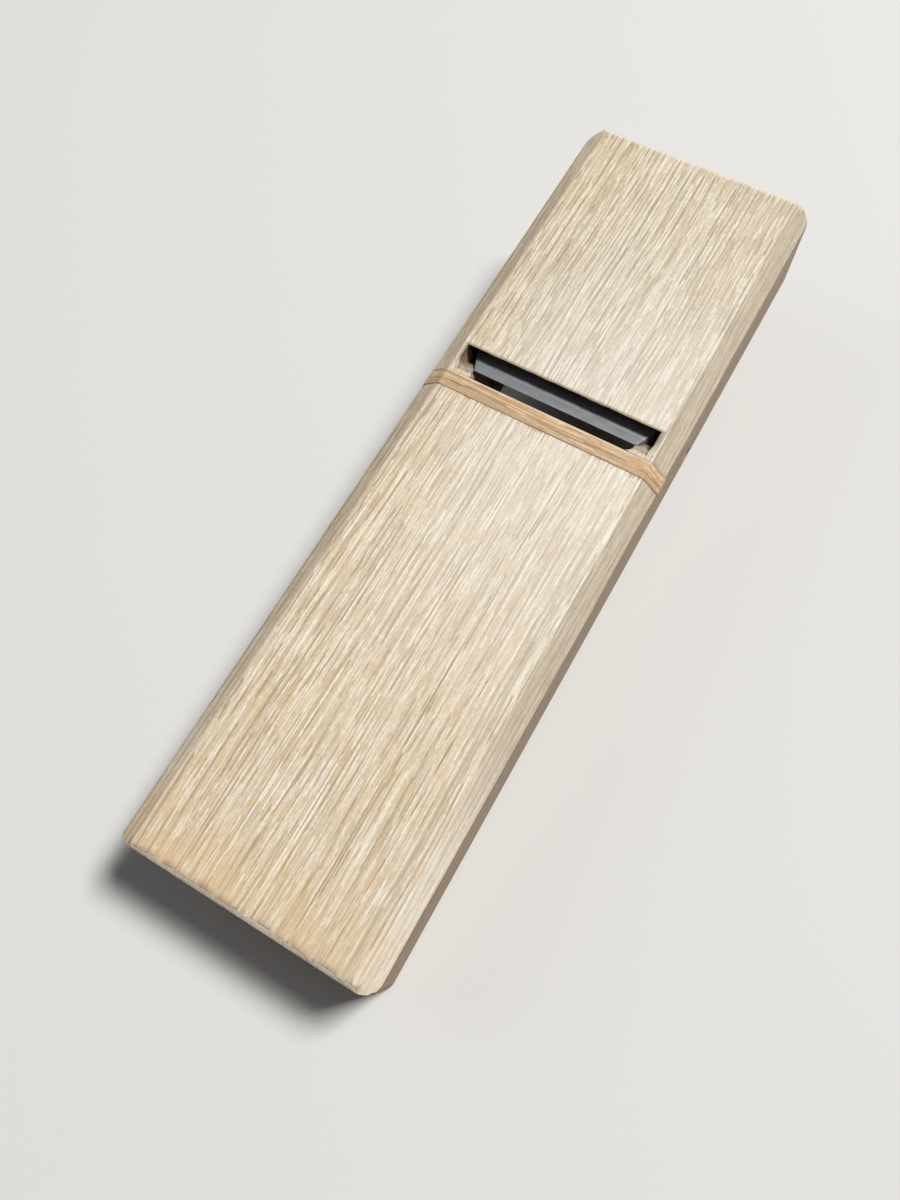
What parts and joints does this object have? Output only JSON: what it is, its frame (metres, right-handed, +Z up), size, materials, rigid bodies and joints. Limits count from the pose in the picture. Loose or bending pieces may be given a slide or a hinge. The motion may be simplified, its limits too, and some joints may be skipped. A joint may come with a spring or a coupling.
{
  "type": "japanese hand plane",
  "caption": "Japanese pull plane lying sole up: long oak block with bevelled edges, mouth insert strip, wedge-held laminated blade and chip breaker under a cross pin.",
  "frame": {"origin": "on the surface that the plane lies on, under the middle of its bounding box", "axes": "+Y along the block from its leading end towards the end that the blade's head leans to, +X across the block, +Z up. The plane lies sole up, tipped 5.2 degrees so that its trailing end is the higher one."},
  "size_m": [0.085, 0.2916, 0.0617],
  "materials": {
    "block_oak": "dry, planed white oak, worn and slightly grey, fine straight grain along the block",
    "insert_wood": "planed, warmer and tighter-grained oak with the grain across the block",
    "pin_steel": "dull steel rod",
    "blade_iron": "forge-dark soft iron, satin where it is ground",
    "blade_steel": "satin, stone-ground hard steel",
    "breaker_iron": "forge-dark soft iron",
    "breaker_steel": "satin, ground steel"
  },
  "bodies": {
    "block": {"body_block": "block_oak", "mouth_insert": "insert_wood", "cross_pin": "pin_steel"},
    "blade": {"blade_iron": "blade_iron", "blade_steel": "blade_steel"},
    "chip_breaker": {"chip_breaker_iron": "breaker_iron", "chip_breaker_steel": "breaker_steel"}
  },
  "joints": [
    {"name": "blade_slide", "type": "slide", "parent": "block", "child": "blade", "axis": [0, 0.8339, -0.552], "range_m": [-0.0047, 0.06]},
    {"name": "chip_breaker_slide", "type": "slide", "parent": "blade", "child": "chip_breaker", "axis": [0, 0.8226, -0.5686], "range_m": [-0.0042, 0.055]}
  ]
}
